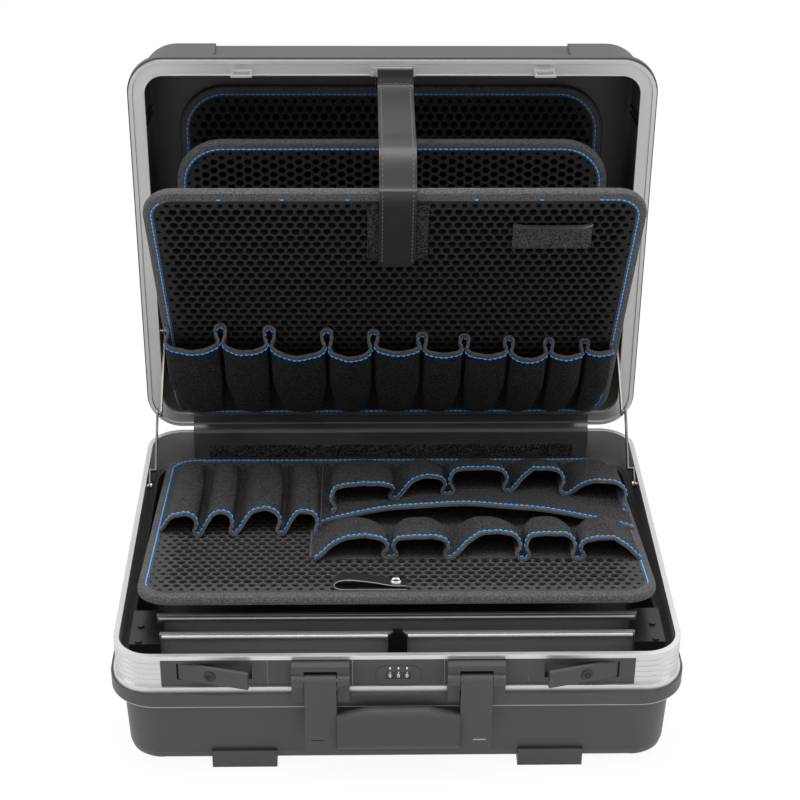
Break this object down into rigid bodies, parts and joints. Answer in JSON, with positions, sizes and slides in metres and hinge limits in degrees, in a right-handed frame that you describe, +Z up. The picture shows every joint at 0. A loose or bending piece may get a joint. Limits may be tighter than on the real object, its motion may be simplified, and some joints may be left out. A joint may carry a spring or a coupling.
{
  "type": "tool case",
  "caption": "Hard-shell tool case standing open, with aluminium frames, combination lock, lever latches, swinging handle and hinged perforated tool boards with cloth pockets",
  "frame": {"origin": "middle of the underside, on the plane of the feet, with the lid open", "axes": "+X to the right seen from the front, +Y to the back, +Z up"},
  "size_m": [0.5, 0.4818, 0.5157],
  "materials": {
    "abs": "injection-moulded black ABS, fine matt grain",
    "trim": "black glass-filled nylon, smooth matt",
    "frame": "natural anodised aluminium extrusion",
    "divider": "bright drawn aluminium",
    "steel": "zinc-plated steel",
    "foam": "perforated foam board covered with black felt",
    "cloth": "black woven pocket cloth with blue stitching",
    "leather": "black leatherette strap",
    "hook": "black hook-and-loop tape",
    "grip": "soft black rubber"
  },
  "bodies": {
    "base": {"base_shell": "abs", "base_frame": "frame", "feet": "abs", "lock_plate_left": "trim", "lock_plate_right": "trim", "panel_left": "trim", "panel_centre": "trim", "panel_right": "trim", "dial_axle": "steel", "lever_pins": "steel", "handle_bracket_left": "trim", "handle_bracket_right": "trim", "handle_pins": "steel", "hinge_leaf_base": "frame", "hinge_pin": "steel", "hinge_cover": "leather", "velcro_strip": "hook", "divider_front": "divider", "divider_rear": "divider", "divider_holder_left": "trim", "divider_holder_right": "trim", "divider_clip": "trim", "holder_screws": "steel", "stay_rivets_base": "steel"},
    "dial_a": {"dial_1": "trim"},
    "dial_b": {"dial_2": "trim"},
    "dial_c": {"dial_3": "trim"},
    "lever_l": {"lever_left": "trim"},
    "lever_r": {"lever_right": "trim"},
    "key_l": {"key_cylinder_left": "steel"},
    "key_r": {"key_cylinder_right": "steel"},
    "handle": {"handle_arm_left": "trim", "handle_arm_right": "trim", "handle_grip": "grip"},
    "base_flap": {"base_board_flap": "leather"},
    "tool_board": {"base_board": "foam", "base_pockets_left": "cloth", "base_pockets_rear": "cloth", "base_pockets_front": "cloth", "pull_tab": "leather", "snap_button": "steel"},
    "stay_low_l": {"stay_lower_left": "steel"},
    "stay_low_r": {"stay_lower_right": "steel"},
    "stay_up_l": {"stay_upper_left": "steel"},
    "stay_up_r": {"stay_upper_right": "steel"},
    "lid": {"lid_shell": "abs", "lid_frame": "frame", "hinge_leaf_lid": "frame", "badge_plate": "trim", "strikers": "steel", "strap_anchor": "leather", "stay_rivets_lid": "steel", "lid_board_back": "foam"},
    "middle_board": {"lid_board_middle": "foam"},
    "lid_flap": {"lid_board_flap": "leather"},
    "front_board": {"lid_board_front": "foam", "lid_pockets": "cloth", "label_pocket": "cloth", "velcro_patch": "hook", "strap_tail": "leather"}
  },
  "joints": [
    {"name": "lid_hinge", "type": "hinge", "parent": "base", "child": "lid", "pos_m": [0, 0.1667, 0.1251], "axis": [-1, 0, 0], "range_deg": [-90, 0]},
    {"name": "dial_a_turn", "type": "hinge", "parent": "base", "child": "dial_a", "pos_m": [-0.00725, -0.2172, 0.1038], "axis": [1, 0, 0], "continuous": true},
    {"name": "dial_b_turn", "type": "hinge", "parent": "base", "child": "dial_b", "pos_m": [0, -0.2172, 0.1038], "axis": [1, 0, 0], "continuous": true},
    {"name": "dial_c_turn", "type": "hinge", "parent": "base", "child": "dial_c", "pos_m": [0.00725, -0.2172, 0.1038], "axis": [1, 0, 0], "continuous": true},
    {"name": "lever_left_swing", "type": "hinge", "parent": "base", "child": "lever_l", "pos_m": [-0.186, -0.21925, 0.10825], "axis": [0, 0, -1], "range_deg": [-15, 45]},
    {"name": "lever_right_swing", "type": "hinge", "parent": "base", "child": "lever_r", "pos_m": [0.186, -0.21925, 0.10825], "axis": [0, 0, 1], "range_deg": [-15, 45]},
    {"name": "key_left_turn", "type": "hinge", "parent": "lever_l", "child": "key_l", "pos_m": [-0.16011, -0.22696, 0.10825], "axis": [-0.2588, -0.9659, 0], "range_deg": [0, 90]},
    {"name": "key_right_turn", "type": "hinge", "parent": "lever_r", "child": "key_r", "pos_m": [0.16011, -0.22696, 0.10825], "axis": [0.2588, -0.9659, 0], "range_deg": [0, 90]},
    {"name": "handle_swing", "type": "hinge", "parent": "base", "child": "handle", "pos_m": [0, -0.2299, 0.1045], "axis": [-1, 0, 0], "range_deg": [0, 95]},
    {"name": "board_flap_hinge", "type": "hinge", "parent": "base", "child": "base_flap", "pos_m": [0, 0.1583, 0.093], "axis": [-1, 0, 0], "range_deg": [-3.8, 0]},
    {"name": "board_lift", "type": "hinge", "parent": "base_flap", "child": "tool_board", "pos_m": [0, 0.1378, 0.101], "axis": [-1, 0, 0], "range_deg": [0, 35]},
    {"name": "stay_lower_left_turn", "type": "hinge", "parent": "base", "child": "stay_low_l", "pos_m": [-0.236, 0.0681, 0.116], "axis": [-1, 0, 0], "range_deg": [-142.81, 0]},
    {"name": "stay_lower_right_turn", "type": "hinge", "parent": "base", "child": "stay_low_r", "pos_m": [0.236, 0.0681, 0.116], "axis": [-1, 0, 0], "range_deg": [-142.81, 0]},
    {"name": "stay_upper_left_turn", "type": "hinge", "parent": "lid", "child": "stay_up_l", "pos_m": [-0.229, 0.1979, 0.2192], "axis": [1, 0, 0], "range_deg": [-90.39, 0]},
    {"name": "stay_upper_right_turn", "type": "hinge", "parent": "lid", "child": "stay_up_r", "pos_m": [0.229, 0.1979, 0.2192], "axis": [1, 0, 0], "range_deg": [-90.39, 0]},
    {"name": "middle_board_hinge", "type": "hinge", "parent": "lid", "child": "middle_board", "pos_m": [0, 0.2234, 0.143], "axis": [1, 0, 0], "range_deg": [-9.5, 0]},
    {"name": "front_flap_hinge", "type": "hinge", "parent": "lid", "child": "lid_flap", "pos_m": [0, 0.1677, 0.1433], "axis": [1, 0, 0], "range_deg": [-140.99, 0]},
    {"name": "front_board_hinge", "type": "hinge", "parent": "lid_flap", "child": "front_board", "pos_m": [0, 0.1341, 0.1635], "axis": [-1, 0, 0], "range_deg": [-119.49, 0]}
  ],
  "couplings": [
    {"joint": "board_flap_hinge", "follows": "lid_hinge", "ratio": 0.042221},
    {"joint": "stay_lower_left_turn", "follows": "lid_hinge", "ratio": 1.5868},
    {"joint": "stay_lower_right_turn", "follows": "lid_hinge", "ratio": 1.5868},
    {"joint": "stay_upper_left_turn", "follows": "lid_hinge", "ratio": 1.0043},
    {"joint": "stay_upper_right_turn", "follows": "lid_hinge", "ratio": 1.0043},
    {"joint": "middle_board_hinge", "follows": "lid_hinge", "ratio": 0.10555},
    {"joint": "front_flap_hinge", "follows": "lid_hinge", "ratio": 1.5665},
    {"joint": "front_board_hinge", "follows": "lid_hinge", "ratio": 1.3276}
  ]
}
